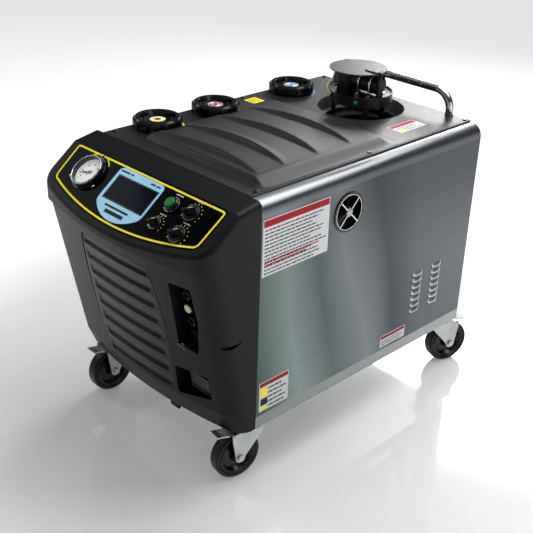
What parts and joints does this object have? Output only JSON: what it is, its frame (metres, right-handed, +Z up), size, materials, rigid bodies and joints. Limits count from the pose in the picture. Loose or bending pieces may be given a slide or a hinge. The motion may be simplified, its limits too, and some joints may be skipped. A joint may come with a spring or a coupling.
{
  "type": "mobile steam cleaner",
  "caption": "Mobile commercial steam cleaner: steel case on braked swivel casters, moulded front with tilted panel, filler caps and a top burner.",
  "frame": {"origin": "on the floor under the middle of the machine's overall box", "axes": "+X the machine's right as its front is faced, -Y the front, +Z up"},
  "size_m": [0.6088, 1.0687, 0.85],
  "materials": {
    "stainless": "brushed stainless sheet",
    "zinc": "zinc-plated pressed steel",
    "chrome": "polished plating",
    "shell_black": "fine-grained moulded plastic",
    "cover_grey": "fine-grained moulded plastic",
    "gloss_black": "glossy moulded plastic",
    "panel_black": "printed polycarbonate film",
    "panel_blue": "printed polycarbonate film",
    "screen": "dark display window",
    "clear": "clear lens",
    "dial_white": "printed dial",
    "green": "translucent green cap",
    "tyre": "black rubber",
    "hub_black": "glossy moulded plastic",
    "steel_dark": "heat-resistant paint",
    "disc_grey": "satin coated plate",
    "tank_white": "natural polyethylene",
    "boiler_steel": "welded steel",
    "copper": "drawn pipe",
    "pump_metal": "cast housing",
    "plug_yellow": "moulded plug"
  },
  "bodies": {
    "chassis": {"caster_plates": "zinc", "base_frame": "stainless", "side_panel_right": "stainless", "side_panel_left": "stainless", "rear_panel": "stainless", "top_cover": "cover_grey", "front_shell": "shell_black", "grille_panel": "shell_black", "case_screws": "gloss_black", "control_panel": "panel_black", "display_bezel": "panel_blue", "display_screen": "screen", "gauge_case": "chrome", "gauge_dial": "dial_white", "gauge_lens": "clear", "start_ring": "chrome", "push_handle": "chrome", "vent_guard": "chrome", "boiler_shell": "boiler_steel", "boiler_coil": "copper", "burner_housing": "steel_dark", "burner_collar": "steel_dark", "burner_motor": "steel_dark", "motor_straps": "chrome", "cover_bracket": "steel_dark", "hose_ports": "gloss_black", "drain_valve": "zinc", "inlet_box": "gloss_black", "storage_tanks": "tank_white", "pump_unit": "pump_metal"},
    "front_right_swivel": {"front_right_fork": "zinc"},
    "front_right_wheel": {"front_right_tyre": "tyre", "front_right_hub": "hub_black"},
    "front_right_pedal": {"front_right_brake": "zinc"},
    "front_left_swivel": {"front_left_fork": "zinc"},
    "front_left_wheel": {"front_left_tyre": "tyre", "front_left_hub": "hub_black"},
    "front_left_pedal": {"front_left_brake": "zinc"},
    "rear_right_swivel": {"rear_right_fork": "zinc"},
    "rear_right_wheel": {"rear_right_tyre": "tyre", "rear_right_hub": "hub_black"},
    "rear_right_pedal": {"rear_right_brake": "zinc"},
    "rear_left_swivel": {"rear_left_fork": "zinc"},
    "rear_left_wheel": {"rear_left_tyre": "tyre", "rear_left_hub": "hub_black"},
    "rear_left_pedal": {"rear_left_brake": "zinc"},
    "needle": {"gauge_needle": "gloss_black"},
    "start": {"start_button": "green"},
    "pressure_knob": {"pressure_knob": "gloss_black"},
    "flow_knob": {"flow_knob": "gloss_black"},
    "mode_selector": {"mode_selector": "gloss_black"},
    "cap_front": {"cap_front": "gloss_black"},
    "cap_middle": {"cap_middle": "gloss_black"},
    "cap_rear": {"cap_rear": "gloss_black"},
    "vent_fan": {"vent_fan": "gloss_black"},
    "burner_fan": {"burner_fan": "pump_metal"},
    "exhaust_cover": {"exhaust_cover": "disc_grey"},
    "port_plug": {"port_plug": "plug_yellow"},
    "drain_lever": {"drain_lever": "zinc"},
    "inlet_lid": {"inlet_lid": "gloss_black"}
  },
  "joints": [
    {"name": "front_right_swivel_turn", "type": "hinge", "parent": "chassis", "child": "front_right_swivel", "pos_m": [0.256, -0.315, 0.137], "axis": [0, 0, 1], "continuous": true},
    {"name": "front_right_wheel_spin", "type": "hinge", "parent": "front_right_swivel", "child": "front_right_wheel", "pos_m": [0.25025, -0.35256, 0.0625], "axis": [0.9885, -0.1513, 0], "continuous": true},
    {"name": "front_right_pedal_press", "type": "hinge", "parent": "front_right_swivel", "child": "front_right_pedal", "pos_m": [0.24768, -0.36937, 0.1285], "axis": [0.9885, -0.1513, 0], "range_deg": [0, 7]},
    {"name": "front_left_swivel_turn", "type": "hinge", "parent": "chassis", "child": "front_left_swivel", "pos_m": [-0.256, -0.315, 0.137], "axis": [0, 0, 1], "continuous": true},
    {"name": "front_left_wheel_spin", "type": "hinge", "parent": "front_left_swivel", "child": "front_left_wheel", "pos_m": [-0.25653, -0.353, 0.0625], "axis": [0.9999, -0.014, 0], "continuous": true},
    {"name": "front_left_pedal_press", "type": "hinge", "parent": "front_left_swivel", "child": "front_left_pedal", "pos_m": [-0.25677, -0.37, 0.1285], "axis": [0.9999, -0.014, 0], "range_deg": [0, 7]},
    {"name": "rear_right_swivel_turn", "type": "hinge", "parent": "chassis", "child": "rear_right_swivel", "pos_m": [0.256, 0.436, 0.137], "axis": [0, 0, 1], "continuous": true},
    {"name": "rear_right_wheel_spin", "type": "hinge", "parent": "rear_right_swivel", "child": "rear_right_wheel", "pos_m": [0.26856, 0.47186, 0.0625], "axis": [-0.9438, 0.3305, 0], "continuous": true},
    {"name": "rear_right_pedal_press", "type": "hinge", "parent": "rear_right_swivel", "child": "rear_right_pedal", "pos_m": [0.27418, 0.48791, 0.1285], "axis": [-0.9438, 0.3305, 0], "range_deg": [0, 7]},
    {"name": "rear_left_swivel_turn", "type": "hinge", "parent": "chassis", "child": "rear_left_swivel", "pos_m": [-0.256, 0.436, 0.137], "axis": [0, 0, 1], "continuous": true},
    {"name": "rear_left_wheel_spin", "type": "hinge", "parent": "rear_left_swivel", "child": "rear_left_wheel", "pos_m": [-0.26856, 0.47186, 0.0625], "axis": [-0.9438, -0.3305, 0], "continuous": true},
    {"name": "rear_left_pedal_press", "type": "hinge", "parent": "rear_left_swivel", "child": "rear_left_pedal", "pos_m": [-0.27418, 0.48791, 0.1285], "axis": [-0.9438, -0.3305, 0], "range_deg": [0, 7]},
    {"name": "needle_swing", "type": "hinge", "parent": "chassis", "child": "needle", "pos_m": [-0.168, -0.44714, 0.68699], "axis": [0, 0.6101, -0.7923], "range_deg": [0, 180]},
    {"name": "start_press", "type": "slide", "parent": "chassis", "child": "start", "axis": [0, 0.6101, -0.7923], "range_m": [0, 0.0035], "stiffness_N_per_m": 400, "springref_m": -0.002},
    {"name": "pressure_knob_turn", "type": "hinge", "parent": "chassis", "child": "pressure_knob", "pos_m": [0.187, -0.43208, 0.69858], "axis": [0, -0.6101, 0.7923], "range_deg": [-135, 135]},
    {"name": "flow_knob_turn", "type": "hinge", "parent": "chassis", "child": "flow_knob", "pos_m": [0.193, -0.47724, 0.66381], "axis": [0, -0.6101, 0.7923], "range_deg": [-135, 135]},
    {"name": "mode_selector_turn", "type": "hinge", "parent": "chassis", "child": "mode_selector", "pos_m": [0.119, -0.47724, 0.66381], "axis": [0, -0.6101, 0.7923], "range_deg": [-45, 45]},
    {"name": "cap_front_lift", "type": "slide", "parent": "chassis", "child": "cap_front", "axis": [0, 0, 1], "range_m": [0, 0.08]},
    {"name": "cap_middle_lift", "type": "slide", "parent": "chassis", "child": "cap_middle", "axis": [0, 0, 1], "range_m": [0, 0.08]},
    {"name": "cap_rear_lift", "type": "slide", "parent": "chassis", "child": "cap_rear", "axis": [0, 0, 1], "range_m": [0, 0.08]},
    {"name": "vent_fan_spin", "type": "hinge", "parent": "chassis", "child": "vent_fan", "pos_m": [0.286, -0.051, 0.632], "axis": [1, 0, 0], "continuous": true},
    {"name": "burner_fan_spin", "type": "hinge", "parent": "chassis", "child": "burner_fan", "pos_m": [-0.044, 0.324, 0.808], "axis": [1, 0, 0], "continuous": true},
    {"name": "exhaust_cover_open", "type": "hinge", "parent": "chassis", "child": "exhaust_cover", "pos_m": [0.077, 0.311, 0.845], "axis": [0, 1, 0], "range_deg": [0, 95]},
    {"name": "port_plug_pull", "type": "slide", "parent": "chassis", "child": "port_plug", "axis": [0, -0.9781, -0.2081], "range_m": [0, 0.06]},
    {"name": "drain_lever_turn", "type": "hinge", "parent": "chassis", "child": "drain_lever", "pos_m": [0.204, -0.46595, 0.38558], "axis": [0, -0.9781, -0.2081], "range_deg": [0, 90]},
    {"name": "inlet_lid_open", "type": "hinge", "parent": "chassis", "child": "inlet_lid", "pos_m": [0.203, -0.41848, 0.25141], "axis": [1, 0, 0], "range_deg": [0, 80]}
  ]
}
